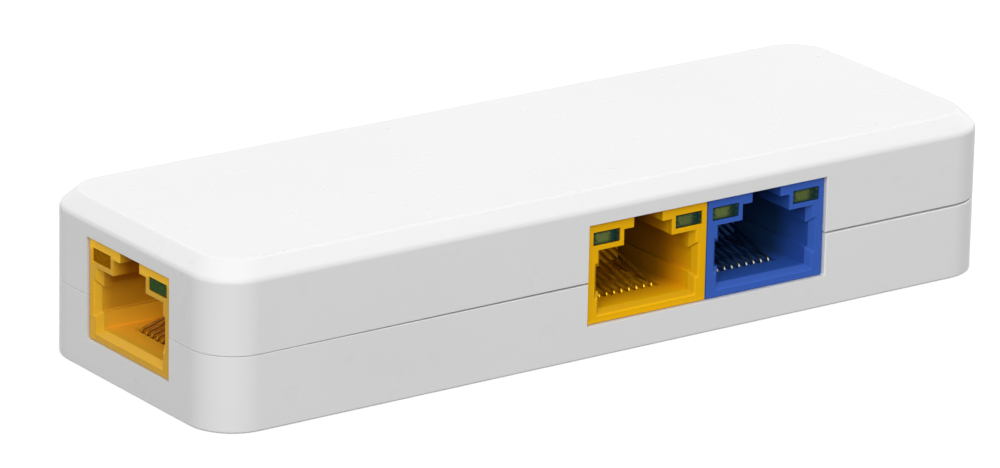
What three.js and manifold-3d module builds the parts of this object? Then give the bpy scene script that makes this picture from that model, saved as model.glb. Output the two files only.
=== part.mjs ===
// A desktop power-over-Ethernet injector: a white two-shell box with one modular jack on its left end,
// two side by side on its front, and a barrel jack for the supply on its right end.
// Millimetres, +Z up. The origin is the middle of the underside, the long side lies along X,
// and the front with the pair of jacks faces -Y.

import * as THREE from 'three';
import { mergeVertices } from 'three/addons/utils/BufferGeometryUtils.js';
import Module from 'manifold-3d';

const wasm = await Module();
wasm.setup();

// Case
const caseLength = 104.2;
const caseDepth = 35.2;
const caseHeight = 18.8;
const cornerRadius = 5.4;
const rimRadius = 4.6;
const bevelInset = 1.7;
const bevelDrop = 1.8;
const wallThickness = 1.8;
const floorThickness = 1.4;
const roofThickness = 1.6;
const partingHeight = 8.65;
const partingGap = 0.3;
const skirtThickness = 0.75;
const lipGap = 0.25;
const lipHeight = 1.2;
const openingGap = 0.15;
const openingTopGap = 0.03;

// Screws and the bosses that they join
const bossShare = 0.32;
const bossInsetShare = 0.49;
const bossTop = 5.1;
const bossGap = 0.3;
const screwHeadShare = 0.68;
const screwHeadHeight = 1.2;
const screwHeadRecess = 0.6;
const screwShare = 0.4;
const screwLength = 8;
const screwClearance = 0.2;
const screwSlotWidth = 0.5;
const screwSlotDepth = 0.6;

// Circuit board
const boardThickness = 1.2;
const solderSpace = 0.9;
const boardEdgeGap = 0.5;
const boardHoleGap = 0.4;
const seatGap = 0.3;
const postRadius = 1.4;
const leadHoleGap = 0.2;
const leadStub = 0.55;
const fieldMargin = 1;
const ribShare = 0.6;

// Modular jack housing
const jackWidth = 16.05;
const jackHeight = 11.4;
const jackLength = 18;
const jackRecess = 0.4;
const endJackRecess = 0.25;
const jackGap = 0.1;
const pairShare = 0.1164;
const plugWidth = 12.1;
const plugFloor = 1.35;
const plugHeight = 6.95;
const jackRear = 5;
const mouthChamfer = 0.65;
const grooveDepth = 0.4;
const grooveBottom = 3.3;
const grooveHeight = 2.9;
const latchWidth = 6.46;
const latchHeight = 1.82;
const latchStop = 1;
const neckWidth = 3.86;
const neckDepth = 6;
const pegRadius = 1.5;
const pegSpacing = 11.4;
const pegDepth = 8.5;
const pegStub = 0.2;
const lightWidth = 3.6;
const lightHeight = 1.55;
const lightCentre = 5.55;
const lightBottom = 8.85;

// Contact insert and its wires
const contactCount = 8;
const contactPitch = 1.016;
const wireWidth = 0.36;
const wireThickness = 0.3;
const bendRadius = 0.42;
const bendFront = 3.85;
const runHeight = 0.72;
const riseDegrees = 16;
const combReach = 0.8;
const tailReach = 1.1;
const tailStagger = 2.4;
const combSlotWidth = 0.62;
const insertGap = 0.25;
const insertFront = 3.65;
const insertBottom = 0.2;
const insertSill = 1.1;
const combHeight = 7.2;
const combSlotDepth = 1.3;
const combSlotMargin = 0.6;
const combTravel = 1.6;
const bendSteps = 6;

// Indicator lights
const lensGap = 0.08;
const lensRecess = 0.1;
const lensRear = 2.5;
const leadSize = 0.45;
const leadSpacing = 2;
const leadRoot = 1;
const leadSetback = 0.8;

// Barrel jack
const barrelWidth = 9;
const barrelHeight = 11;
const barrelLength = 14;
const barrelFlange = 3.5;
const barrelStep = 1.2;
const boreRadius = 3.2;
const boreDepth = 9.5;
const boreHeight = 5.8;
const pinRadius = 1;
const pinRecess = 1;
const pinTip = 0.4;
const pinGap = 0.2;
const springWidth = 2.2;
const springThickness = 0.35;
const springFront = 3.2;
const springCrest = 5;
const springTail = 8;
const springLift = 0.45;
const springRoot = 1.3;
const springGap = 0.4;
const tabWidth = 2;
const tabThickness = 0.4;

// Surface-mounted packages
const chipDraft = 0.15;
const chipRoot = 0.4;
const chipLift = 0.2;
const chipEdge = 0.1;
const chipLeadWidth = 0.5;
const chipLeadThickness = 0.25;
const chipLeadReach = 1.2;
const transformerHeight = 5.6;
const transformerLeads = 8;
const controllerHeight = 2.4;
const controllerLeads = 8;
const switchHeight = 2.3;
const switchLeadWidth = 1.6;
const rectifierHeight = 2.5;
const rectifierLeadWidth = 0.7;
const diodeHeight = 2.3;
const diodeLeadWidth = 3;
const fuseHeight = 1.4;
const inductorHeight = 5;
const inductorRingDepth = 0.8;

// Electrolytic capacitors
const bulkHeight = 12;
const outputHeight = 11.5;
const filterHeight = 11;
const crimpDepth = 0.35;
const crimpHeight = 1.6;
const bungHeight = 0.6;
const canEdge = 0.5;

// Places and sizes on the board, as shares of its fields: [along X, along Y]
const transformerShare = 0.3;
const transformerShares = [0.483, 0.614];
const controllerShare = 0.78;
const controllerShares = [0.389, 0.49];
const inductorShare = 0.378;
const inductorCutShare = 0.2;
const coreShare = 0.3;
const ringShare = 0.41;
const switchShare = 0.32;
const switchShares = [0.472, 0.622];
const fuseShare = 0.82;
const fuseShares = [0.25, 0.47];
const diodeShare = 0.27;
const diodeShares = [0.42, 0.51];
const rectifierShare = 0.78;
const rectifierShares = [0.35, 0.41];
const middleShare = 0.5;
const filterShare = 0.142;
const filterRadiusShare = 0.204;
const bulkShare = 0.47;
const bulkRadiusShare = 0.327;
const outputShare = 0.827;
const outputRadiusShare = 0.257;
const slotShare = 0.7;

// Cutting
const overrun = 1;
const joinDepth = 0.1;
const mergeTolerance = 1e-5;

// Steps in a quarter turn and in a full turn
const cornerSteps = 8;
const roundSteps = 16;

// Heights that follow
const boardBottom = floorThickness + solderSpace;
const boardTop = boardBottom + boardThickness;
const jackBottom = boardTop + seatGap;
const jackTop = jackBottom + jackHeight;
const ceiling = caseHeight - roofThickness;
const wallTop = caseHeight - bevelDrop;
const baseTop = partingHeight - partingGap / 2;
const coverBottom = partingHeight + partingGap / 2;
const lipTop = baseTop + lipHeight;
const leadEnd = boardBottom - leadStub;
const leadDrop = leadEnd - jackBottom;
const pairPitch = jackWidth + jackGap;
const pairCentre = caseLength * pairShare;
const plugDepth = jackLength - jackRear;
const latchDepth = plugDepth - latchStop;
const sideRoom = (caseDepth - jackWidth) / 2 - wallThickness;
const bossRadius = sideRoom * bossShare;
const bossInset = sideRoom * bossInsetShare;
const screwHeadRadius = bossRadius * screwHeadShare;
const screwRadius = bossRadius * screwShare;
const bossX = caseLength / 2 - wallThickness - bossInset;
const bossY = caseDepth / 2 - wallThickness - bossInset;
const headTop = screwHeadRecess + screwHeadHeight;

// Fields of the board between the jacks, as [from, to] along X and Y
const innerX = caseLength / 2 - wallThickness - boardEdgeGap;
const innerY = caseDepth / 2 - wallThickness - boardEdgeGap;
const jackClear = jackLength + leadSetback + leadSize + fieldMargin;
const lensEnd = jackLength - lensRear;
const pairLeft = pairCentre - jackGap / 2 - jackWidth;
const pairRight = pairCentre + jackGap / 2 + jackWidth;
const leftField = {
  x: [-caseLength / 2 + endJackRecess + jackClear, pairLeft - fieldMargin],
  y: [-innerY, innerY],
};
const rearField = {
  x: [pairLeft, pairRight],
  y: [-caseDepth / 2 + jackRecess + jackClear, innerY],
};
const rightField = {
  x: [pairRight + fieldMargin, bossX - bossRadius - fieldMargin],
  y: [barrelWidth / 2 + fieldMargin, innerY],
};

const leftLength = leftField.x[1] - leftField.x[0];
const rearDepth = rearField.y[1] - rearField.y[0];
const rightLength = rightField.x[1] - rightField.x[0];
const rightDepth = rightField.y[1] - rightField.y[0];

// Closed shapes and solids

function solid(geometry) {
  geometry.deleteAttribute('normal');
  geometry.deleteAttribute('uv');
  const merged = mergeVertices(geometry, mergeTolerance);
  const vertProperties = new Float32Array(merged.attributes.position.array);
  const triVerts = new Uint32Array(merged.index.array);
  return new wasm.Manifold(new wasm.Mesh({ numProp: 3, vertProperties, triVerts }));
}

function block({ x, y, z }) {
  const box = new THREE.BoxGeometry(x[1] - x[0], y[1] - y[0], z[1] - z[0]);
  return solid(box.translate((x[0] + x[1]) / 2, (y[0] + y[1]) / 2, (z[0] + z[1]) / 2));
}

function joined(parts) {
  return parts.reduce((whole, part) => whole.add(part));
}

function cutBy(body, cutters) {
  return cutters.reduce((rest, cutter) => rest.subtract(cutter), body);
}

function around(centre, width) {
  return [centre - width / 2, centre + width / 2];
}

// A point a share of the way along a field's side
function along(side, share) {
  return side[0] + (side[1] - side[0]) * share;
}

function outlineOf(length, depth, radius) {
  const points = [];
  const corners = [[1, 1, 0], [-1, 1, 1], [-1, -1, 2], [1, -1, 3]];
  for (const [sideX, sideY, quarter] of corners) {
    for (let step = 0; step <= cornerSteps; step += 1) {
      const angle = (quarter + step / cornerSteps) * Math.PI / 2;
      const x = sideX * (length / 2 - radius) + radius * Math.cos(angle);
      const y = sideY * (depth / 2 - radius) + radius * Math.sin(angle);
      points.push(new THREE.Vector2(x, y));
    }
  }
  return points;
}

// A body through outlines of equally many points, each at its own height
function stack(levels) {
  const count = levels[0].outline.length;
  const positions = levels.flatMap(({ outline, z }) => outline.flatMap((point) => [point.x, point.y, z]));
  const index = [];
  for (let level = 0; level + 1 < levels.length; level += 1) {
    for (let i = 0; i < count; i += 1) {
      const a = level * count + i;
      const b = level * count + (i + 1) % count;
      index.push(a, b, b + count, a, b + count, a + count);
    }
  }
  const top = (levels.length - 1) * count;
  for (const [a, b, c] of THREE.ShapeUtils.triangulateShape(levels[0].outline, [])) {
    index.push(a, c, b, top + a, top + b, top + c);
  }
  const geometry = new THREE.BufferGeometry();
  geometry.setAttribute('position', new THREE.Float32BufferAttribute(positions, 3));
  geometry.setIndex(index);
  return solid(geometry);
}

function roundedPrism(length, depth, radius, z) {
  const outline = outlineOf(length, depth, radius);
  return stack([{ outline, z: z[0] }, { outline, z: z[1] }]);
}

function caseOutline(inset) {
  return outlineOf(caseLength - 2 * inset, caseDepth - 2 * inset, cornerRadius - inset);
}

// The bevel's upper edge, with corners of its own
function rimOutline() {
  return outlineOf(caseLength - 2 * bevelInset, caseDepth - 2 * bevelInset, rimRadius);
}

function casePrism(inset, z) {
  const outline = caseOutline(inset);
  return stack([{ outline, z: z[0] }, { outline, z: z[1] }]);
}

function rod(radius, z, x = 0, y = 0, steps = roundSteps) {
  const geometry = new THREE.CylinderGeometry(radius, radius, z[1] - z[0], steps);
  return solid(geometry.rotateX(Math.PI / 2).translate(x, y, (z[0] + z[1]) / 2));
}

function turned(profile, steps = roundSteps) {
  const points = profile.map(([radius, height]) => new THREE.Vector2(radius, height));
  return solid(new THREE.LatheGeometry(points, steps).rotateX(Math.PI / 2));
}

// A bent strip of metal: its middle line as [depth, height] points, thickened both ways,
// and its width along X
function strip(path, thickness, x) {
  const left = [];
  const right = [];
  path.forEach((point, i) => {
    const before = path[Math.max(i - 1, 0)];
    const after = path[Math.min(i + 1, path.length - 1)];
    const incoming = new THREE.Vector2(point[0] - before[0], point[1] - before[1]).normalize();
    const outgoing = new THREE.Vector2(after[0] - point[0], after[1] - point[1]).normalize();
    const middle = incoming.clone().add(outgoing).normalize();
    const bend = i > 0 && i + 1 < path.length ? Math.sqrt((1 + incoming.dot(outgoing)) / 2) : 1;
    const offset = new THREE.Vector2(-middle.y, middle.x).multiplyScalar(thickness / 2 / bend);
    left.push(new THREE.Vector2(point[0] + offset.x, point[1] + offset.y));
    right.push(new THREE.Vector2(point[0] - offset.x, point[1] - offset.y));
  });
  const shape = new THREE.Shape([...right, ...left.reverse()]);
  const geometry = new THREE.ExtrudeGeometry(shape, { depth: x[1] - x[0], bevelEnabled: false });
  const axes = [new THREE.Vector3(0, 1, 0), new THREE.Vector3(0, 0, 1), new THREE.Vector3(1, 0, 0)];
  return solid(geometry.applyMatrix4(new THREE.Matrix4().makeBasis(...axes)).translate(x[0], 0, 0));
}

// Pieces of the model

const injector = new THREE.Group();

const finishes = {
  shell: [0xf2f2f0, 0.45, 0],
  amber: [0xe0ab08, 0.4, 0],
  blue: [0x2f5fb8, 0.4, 0],
  contact: [0xe8d9a8, 0.25, 1],
  light: [0x3a4a33, 0.2, 0],
  board: [0x1f6b3a, 0.5, 0],
  steel: [0xb9bcc0, 0.3, 1],
  moulding: [0x18191b, 0.6, 0],
  ferrite: [0x3a3a3c, 0.7, 0],
  can: [0x6d7683, 0.3, 1],
  fuse: [0x2d7a4a, 0.5, 0],
};

function addPiece(parent, name, piece, finish) {
  const { vertProperties, triVerts } = piece.getMesh();
  const geometry = new THREE.BufferGeometry();
  geometry.setAttribute('position', new THREE.BufferAttribute(new Float32Array(vertProperties), 3));
  geometry.setIndex(new THREE.BufferAttribute(new Uint32Array(triVerts), 1));
  geometry.computeVertexNormals();
  const [color, roughness, metalness] = finishes[finish];
  const mesh = new THREE.Mesh(geometry, new THREE.MeshStandardMaterial({ color, roughness, metalness }));
  mesh.name = name;
  parent.add(mesh);
}

function group(x, y, z, turn) {
  const holder = new THREE.Group();
  holder.position.set(x, y, z);
  holder.rotation.z = turn;
  injector.add(holder);
  return holder;
}

const cornerSides = [[-1, -1], [1, -1], [1, 1], [-1, 1]];
const bossPlaces = cornerSides.map(([sideX, sideY]) => [sideX * bossX, sideY * bossY]);

// Where the jacks stand: the middle of each face's lower edge, and the turn that faces it outwards
const frontFace = -caseDepth / 2 + jackRecess;
const endFace = -caseLength / 2 + endJackRecess;
const supplyFace = caseLength / 2 - jackRecess;
const jacks = [
  { name: 'end_jack', x: endFace, y: 0, turn: -Math.PI / 2, finish: 'amber' },
  { name: 'front_left_jack', x: pairCentre - pairPitch / 2, y: frontFace, turn: 0, finish: 'amber' },
  { name: 'front_right_jack', x: pairCentre + pairPitch / 2, y: frontFace, turn: 0, finish: 'blue' },
];

// The wall openings, each past both faces of its wall
function wallOpenings() {
  const through = [-overrun, jackRecess + wallThickness + overrun];
  const tall = [jackBottom - openingGap, jackTop + openingTopGap];
  const pairHalf = pairPitch / 2 + jackWidth / 2 + openingGap;
  const endHalf = jackWidth / 2 + openingGap;
  const supplyHalf = barrelWidth / 2 + openingGap;
  const supplyTop = jackBottom + barrelHeight + openingGap;
  return [
    block({
      x: [pairCentre - pairHalf, pairCentre + pairHalf],
      y: [-caseDepth / 2 + through[0], -caseDepth / 2 + through[1]],
      z: tall,
    }),
    block({
      x: [-caseLength / 2 + through[0], -caseLength / 2 + through[1]],
      y: [-endHalf, endHalf],
      z: tall,
    }),
    block({
      x: [caseLength / 2 - through[1], caseLength / 2 - through[0]],
      y: [-supplyHalf, supplyHalf],
      z: [tall[0], supplyTop],
    }),
  ];
}

// Upper shell: a skirt with a bevelled rim, hung bosses for the screws and ribs that hold the jacks down
function topCover() {
  const outer = stack([
    { outline: caseOutline(0), z: coverBottom },
    { outline: caseOutline(0), z: wallTop },
    { outline: rimOutline(), z: caseHeight },
  ]);
  const hollow = casePrism(wallThickness, [coverBottom - overrun, ceiling]);
  const rebate = casePrism(skirtThickness, [coverBottom - overrun, lipTop + partingGap]);
  const bosses = bossPlaces.map(([x, y]) => rod(bossRadius, [bossTop + bossGap, ceiling + joinDepth], x, y));
  const pilots = bossPlaces.map(([x, y]) => {
    const pilotTop = headTop + screwLength + overrun;
    return rod(screwRadius + screwClearance, [bossTop, pilotTop], x, y);
  });
  const ribZ = [jackTop + seatGap, ceiling + joinDepth];
  const ribs = jacks.flatMap(({ x, y, turn }) => {
    const inwards = new THREE.Vector2(-Math.sin(turn), Math.cos(turn));
    return [plugDepth, jackLength - wallThickness].map((depth) => {
      const spot = [x + inwards.x * depth, y + inwards.y * depth];
      const size = [jackWidth * ribShare, wallThickness];
      const [sizeX, sizeY] = turn === 0 ? size : size.reverse();
      return block({ x: around(spot[0], sizeX), y: around(spot[1], sizeY), z: ribZ });
    });
  });
  const supplyRib = block({
    x: around(supplyFace - barrelLength / 2, wallThickness),
    y: around(0, barrelWidth * ribShare),
    z: [jackBottom + barrelHeight + seatGap, ceiling + joinDepth],
  });
  const body = joined([cutBy(outer, [hollow, rebate]), ...bosses, ...ribs, supplyRib]);
  return cutBy(body, [...pilots, ...wallOpenings()]);
}

// Lower shell: a tray with a lip inside the upper skirt, bored bosses, and posts under the board
function baseShell() {
  const tray = casePrism(0, [0, baseTop]);
  const hollow = casePrism(wallThickness, [floorThickness, baseTop + overrun]);
  const lip = casePrism(skirtThickness + lipGap, [baseTop - joinDepth, lipTop]);
  const lipHollow = casePrism(wallThickness, [floorThickness, lipTop + overrun]);
  const bosses = bossPlaces.map(([x, y]) => rod(bossRadius, [joinDepth, bossTop], x, y));
  const bores = bossPlaces.flatMap(([x, y]) => [
    rod(screwRadius + screwClearance, [-overrun, bossTop + overrun], x, y),
    rod(screwHeadRadius + screwClearance, [-overrun, headTop + screwClearance], x, y),
  ]);
  const posts = postPlaces().map(([x, y]) => rod(postRadius, [joinDepth, boardBottom - seatGap], x, y));
  const shell = cutBy(tray, [hollow]).add(cutBy(lip, [lipHollow]));
  return cutBy(joined([shell, ...bosses, ...posts]), [...bores, ...wallOpenings()]);
}

function postPlaces() {
  const beside = pairLeft - bossInset;
  return [
    [along(leftField.x, transformerShare), 0],
    [along(rightField.x, switchShare), -bossY],
    [along(rightField.x, switchShare), bossY],
    [pairCentre, -bossY],
    [beside, -bossY],
    [beside, bossY],
  ];
}

// Board: one plate with holes for bosses, pegs and every lead that passes through it
function mainBoard() {
  const radius = cornerRadius - wallThickness - boardEdgeGap;
  const plate = roundedPrism(2 * innerX, 2 * innerY, radius, [boardBottom, boardTop]);
  const through = [boardBottom - overrun, boardTop + overrun];
  const bossHoles = bossPlaces.map(([x, y]) => rod(bossRadius + boardHoleGap, through, x, y));
  const pegHoles = jacks.flatMap((jack) => [-pegSpacing / 2, pegSpacing / 2].map((u) => {
    const spot = onBoard(jack, u, pegDepth);
    return rod(pegRadius + leadHoleGap, through, spot.x, spot.y);
  }));
  const leadHoles = leadPlaces().map(({ x, y, size }) => block({
    x: around(x, size + 2 * leadHoleGap),
    y: around(y, size + 2 * leadHoleGap),
    z: through,
  }));
  return cutBy(plate, [...bossHoles, ...pegHoles, ...leadHoles]);
}

// A point of a jack's own frame, given across and inwards from its face, on the board
function onBoard({ x, y, turn }, u, v) {
  const spot = new THREE.Vector2(u, v).rotateAround(new THREE.Vector2(0, 0), turn);
  return { x: x + spot.x, y: y + spot.y };
}

function leadPlaces() {
  const wires = jacks.flatMap((jack) => contactPlaces().map(({ u, tail }) => {
    return { ...onBoard(jack, u, tail), size: wireWidth };
  }));
  const lights = jacks.flatMap((jack) => [-lightCentre, lightCentre].flatMap((centre) => {
    return around(centre, leadSpacing).map((u) => {
      return { ...onBoard(jack, u, jackLength + leadSetback), size: leadSize };
    });
  }));
  const supply = [
    { ...onBoard(supplyJack, 0, pinTail), size: tabWidth },
    { ...onBoard(supplyJack, 0, springTail), size: springWidth },
  ];
  const cans = capacitors.flatMap(({ x, y, radius }) => around(x, radius).map((leadX) => {
    return { x: leadX, y, size: leadSize };
  }));
  return [...wires, ...lights, ...supply, ...cans];
}

// Modular jack, in its own frame: X across, Y inwards from its face, Z up from its underside

function contactPlaces() {
  return Array.from({ length: contactCount }, (_, i) => ({
    u: (i - (contactCount - 1) / 2) * contactPitch,
    tail: plugDepth + tailReach + (i % 2) * tailStagger,
  }));
}

const contactSpan = (contactCount - 1) * contactPitch + combSlotWidth;
const tongueWidth = contactSpan + combSlotWidth;
const plugTop = plugFloor + plugHeight;

// A rectangular mouth that widens towards the face by the lead-in chamfer, above only where topShare is 1
function leadIn(width, low, high, topShare) {
  const level = (inset, v) => ({
    outline: [
      [-width / 2 - inset, high + inset * topShare],
      [width / 2 + inset, high + inset * topShare],
      [width / 2 + inset, low - inset],
      [-width / 2 - inset, low - inset],
    ].map(([u, w]) => new THREE.Vector2(u, -w)),
    z: v,
  });
  const stretch = mouthChamfer + overrun;
  const upright = new THREE.Euler(-Math.PI / 2, 0, 0);
  return turnedBy(stack([level(stretch, -overrun), level(0, mouthChamfer)]), upright);
}

// The plug's way in, and the shallow grooves in its side walls
function plugCavity() {
  const grooveWidth = plugWidth + 2 * grooveDepth;
  const grooveTop = grooveBottom + grooveHeight;
  return [
    leadIn(plugWidth, plugFloor, plugTop, 0),
    leadIn(grooveWidth, grooveBottom, grooveTop, 1),
    block({ x: around(0, plugWidth), y: [0, plugDepth], z: [plugFloor, plugTop] }),
    block({ x: around(0, grooveWidth), y: [0, plugDepth], z: [grooveBottom, grooveTop] }),
  ];
}

function turnedBy(piece, euler) {
  const matrix = new THREE.Matrix4().makeRotationFromEuler(euler);
  return piece.transform(matrix.elements);
}

function jackHousing() {
  const half = jackWidth / 2;
  const shell = block({ x: [-half, half], y: [0, jackLength], z: [0, jackHeight] });
  const latchTop = plugTop + latchHeight;
  const latch = block({
    x: around(0, latchWidth),
    y: [-overrun, latchDepth],
    z: [plugTop - overrun, latchTop],
  });
  const neck = block({
    x: around(0, neckWidth),
    y: [-overrun, neckDepth],
    z: [latchTop - overrun, jackHeight + overrun],
  });
  const tongueSlot = block({
    x: around(0, tongueWidth + 2 * insertGap),
    y: [insertFront - insertGap, jackLength + overrun],
    z: [-overrun, plugFloor + overrun],
  });
  const rearPocket = block({
    x: around(0, plugWidth),
    y: [plugDepth - joinDepth, jackLength + overrun],
    z: [-overrun, combHeight + insertGap],
  });
  const lightWays = [-lightCentre, lightCentre].map((centre) => block({
    x: around(centre, lightWidth),
    y: [-overrun, jackLength + overrun],
    z: [lightBottom, lightBottom + lightHeight],
  }));
  const pegZ = [-seatGap - boardThickness - pegStub, joinDepth];
  const pegs = [-pegSpacing / 2, pegSpacing / 2].map((u) => rod(pegRadius, pegZ, u, pegDepth));
  const cutters = [...plugCavity(), latch, neck, tongueSlot, rearPocket, ...lightWays];
  return joined([cutBy(shell, cutters), ...pegs]);
}

const bendCentre = [bendFront + bendRadius, runHeight + bendRadius];
const rise = THREE.MathUtils.degToRad(riseDegrees);
const wireEnd = plugDepth + combReach;
const wireTop = bendCentre[1] + bendRadius * Math.cos(rise);
const wireEndHeight = wireTop + (wireEnd - bendCentre[0] + bendRadius * Math.sin(rise)) * Math.tan(rise);
const insertEnd = jackLength - insertGap;

// Insert: a tongue under the plug that the wires run along, and a comb behind it for their free ends
function contactInsert() {
  const tongue = block({
    x: around(0, tongueWidth),
    y: [insertFront, insertEnd],
    z: [insertBottom, insertSill],
  });
  const comb = block({
    x: around(0, plugWidth - 2 * insertGap),
    y: [plugDepth + insertGap, insertEnd],
    z: [insertSill - joinDepth, combHeight],
  });
  const cutters = contactPlaces().flatMap(({ u, tail }) => {
    const x = around(u, combSlotWidth);
    const channelFloor = runHeight - wireThickness / 2 - insertGap;
    return [
      block({ x, y: [insertFront - overrun, tail], z: [channelFloor, insertSill + joinDepth] }),
      block({ x, y: around(tail, combSlotWidth), z: [-overrun, insertSill + joinDepth] }),
      block({
        x,
        y: [plugDepth, plugDepth + insertGap + combSlotDepth],
        z: [wireEndHeight - combTravel, wireEndHeight + combSlotMargin],
      }),
    ];
  });
  return cutBy(tongue.add(comb), cutters);
}

// Contact wire: soldered tail, run under the plug, bend at the front and sprung arm up to the comb
function contactWire({ u, tail }) {
  const bend = Array.from({ length: bendSteps + 1 }, (_, step) => {
    const angle = -Math.PI / 2 - (step / bendSteps) * (Math.PI - rise);
    return [bendCentre[0] + bendRadius * Math.cos(angle), bendCentre[1] + bendRadius * Math.sin(angle)];
  });
  const path = [[tail, leadDrop], [tail, runHeight], ...bend, [wireEnd, wireEndHeight]];
  return strip(path, wireThickness, around(u, wireWidth));
}

// Indicator: a clear lens bar down the housing's top corner, with two leads behind it
function indicatorLight(centre) {
  const z = [lightBottom + lensGap, lightBottom + lightHeight - lensGap];
  const lens = block({ x: around(centre, lightWidth - 2 * lensGap), y: [lensRecess, lensEnd], z });
  const height = (z[0] + z[1]) / 2;
  const drop = jackLength + leadSetback;
  const path = [[lensEnd - leadRoot, height], [drop, height], [drop, leadDrop]];
  const leads = around(centre, leadSpacing).map((u) => strip(path, leadSize, around(u, leadSize)));
  return joined([lens, ...leads]);
}

// Barrel jack, in the same kind of frame: X across, Y inwards, Z up

const supplyJack = { x: supplyFace, y: 0, turn: Math.PI / 2 };
const pinTail = barrelLength + leadSetback;

function alongDepth(piece, height) {
  return turnedBy(piece, new THREE.Euler(-Math.PI / 2, 0, 0)).translate([0, 0, height]);
}

function barrelHousing() {
  const half = barrelWidth / 2;
  const body = block({ x: [-half, half], y: [0, barrelLength], z: [0, barrelHeight] });
  const step = block({
    x: [-half - overrun, half + overrun],
    y: [barrelFlange, barrelLength + overrun],
    z: [barrelHeight - barrelStep, barrelHeight + overrun],
  });
  const bore = alongDepth(rod(boreRadius, [-overrun, boreDepth]), boreHeight);
  const pinHole = alongDepth(rod(pinRadius + pinGap, [-overrun, barrelLength + overrun]), boreHeight);
  const springSlot = block({
    x: around(0, springWidth + 2 * springGap),
    y: [springFront - springGap, springTail + springGap],
    z: [-overrun, boreHeight],
  });
  return cutBy(body, [step, bore, pinHole, springSlot]);
}

function barrelPin() {
  const profile = [
    [0, pinRecess],
    [pinRadius - pinTip, pinRecess],
    [pinRadius, pinRecess + pinTip],
    [pinRadius, barrelLength],
    [0, barrelLength],
  ];
  const path = [[barrelLength - leadRoot, 0], [pinTail, 0], [pinTail, leadDrop - boreHeight]];
  const tab = strip(path, tabThickness, around(0, tabWidth)).translate([0, 0, boreHeight]);
  return alongDepth(turned(profile), boreHeight).add(tab);
}

function barrelSpring() {
  const crest = boreHeight - boreRadius + springLift;
  const path = [
    [springTail, leadDrop],
    [springTail, springRoot],
    [springCrest, crest],
    [springFront, springRoot],
  ];
  return strip(path, springThickness, around(0, springWidth));
}

// Parts on the board, each in its own frame: X along, Y across, Z up from its seat

function chip({ size, height, count, leadWidth }) {
  const [length, width] = size;
  const pitch = length / count;
  const level = (inset, z) => ({ outline: outlineOf(length - 2 * inset, width - 2 * inset, chipEdge), z });
  const leadHeight = (chipLift + height) / 2;
  const body = stack([level(chipDraft, chipLift), level(0, leadHeight), level(chipDraft, height)]);
  const edge = width / 2;
  const foot = chipLeadThickness / 2;
  const leads = [-1, 1].flatMap((side) => {
    const path = [
      [edge - chipRoot, leadHeight],
      [edge + chipLeadReach / 3, leadHeight],
      [edge + chipLeadReach / 2, foot],
      [edge + chipLeadReach, foot],
    ].map(([y, z]) => [side * y, z]);
    return Array.from({ length: count }, (_, i) => {
      return strip(path, chipLeadThickness, around((i - (count - 1) / 2) * pitch, leadWidth));
    });
  });
  return joined([body, ...leads]);
}

function sized(shares, length, depth) {
  return [shares[0] * length, shares[1] * depth];
}

const transformer = {
  size: sized(transformerShares, leftLength, innerY),
  height: transformerHeight,
  count: transformerLeads,
  leadWidth: chipLeadWidth,
};
const rightMiddle = along(rightField.y, middleShare);
const chips = [
  { ...transformer, name: 'data_transformer_1', place: [along(leftField.x, transformerShare), -innerY / 2] },
  { ...transformer, name: 'data_transformer_2', place: [along(leftField.x, transformerShare), innerY / 2] },
  {
    name: 'power_controller',
    place: [along(leftField.x, controllerShare), -innerY / 2],
    size: sized(controllerShares, leftLength, innerY),
    height: controllerHeight,
    count: controllerLeads,
    leadWidth: chipLeadWidth,
  },
  {
    name: 'power_switch',
    place: [along(rightField.x, switchShare), -rightMiddle],
    size: sized(switchShares, rightLength, rightDepth),
    height: switchHeight,
    count: 2,
    leadWidth: switchLeadWidth,
  },
  {
    name: 'rectifier',
    place: [along(rightField.x, rectifierShare), rightMiddle],
    size: sized(rectifierShares, rightLength, rightDepth),
    height: rectifierHeight,
    count: 2,
    leadWidth: rectifierLeadWidth,
  },
  {
    name: 'output_diode',
    place: [along(rightField.x, diodeShare), rightMiddle],
    size: sized(diodeShares, rightLength, rightDepth),
    height: diodeHeight,
    count: 1,
    leadWidth: diodeLeadWidth,
  },
];

const capacitors = [
  { name: 'filter_capacitor', share: filterShare, radiusShare: filterRadiusShare, height: filterHeight },
  { name: 'bulk_capacitor', share: bulkShare, radiusShare: bulkRadiusShare, height: bulkHeight },
  { name: 'output_capacitor', share: outputShare, radiusShare: outputRadiusShare, height: outputHeight },
].map(({ name, share, radiusShare, height }) => ({
  name,
  height,
  radius: rearDepth * radiusShare,
  x: along(rearField.x, share),
  y: along(rearField.y, middleShare),
}));

function capacitor({ radius, height }) {
  const can = turned([
    [0, 0],
    [radius - crimpDepth, 0],
    [radius - crimpDepth, bungHeight],
    [radius, bungHeight],
    [radius, crimpHeight],
    [radius - crimpDepth, crimpHeight + crimpDepth],
    [radius, crimpHeight + 2 * crimpDepth],
    [radius, height - canEdge],
    [radius - canEdge, height],
    [0, height],
  ]);
  const leadZ = [leadEnd - boardTop - seatGap, bungHeight];
  const leads = around(0, radius).map((x) => block({
    x: around(x, leadSize),
    y: around(0, leadSize),
    z: leadZ,
  }));
  return joined([can, ...leads]);
}

function inductor() {
  const side = leftLength * inductorShare;
  const body = roundedPrism(side, side, side * inductorCutShare, [0, inductorHeight]);
  const ringZ = [inductorHeight - inductorRingDepth, inductorHeight + overrun];
  return body.subtract(rod(side * ringShare, ringZ).subtract(rod(side * coreShare, ringZ)));
}

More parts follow.
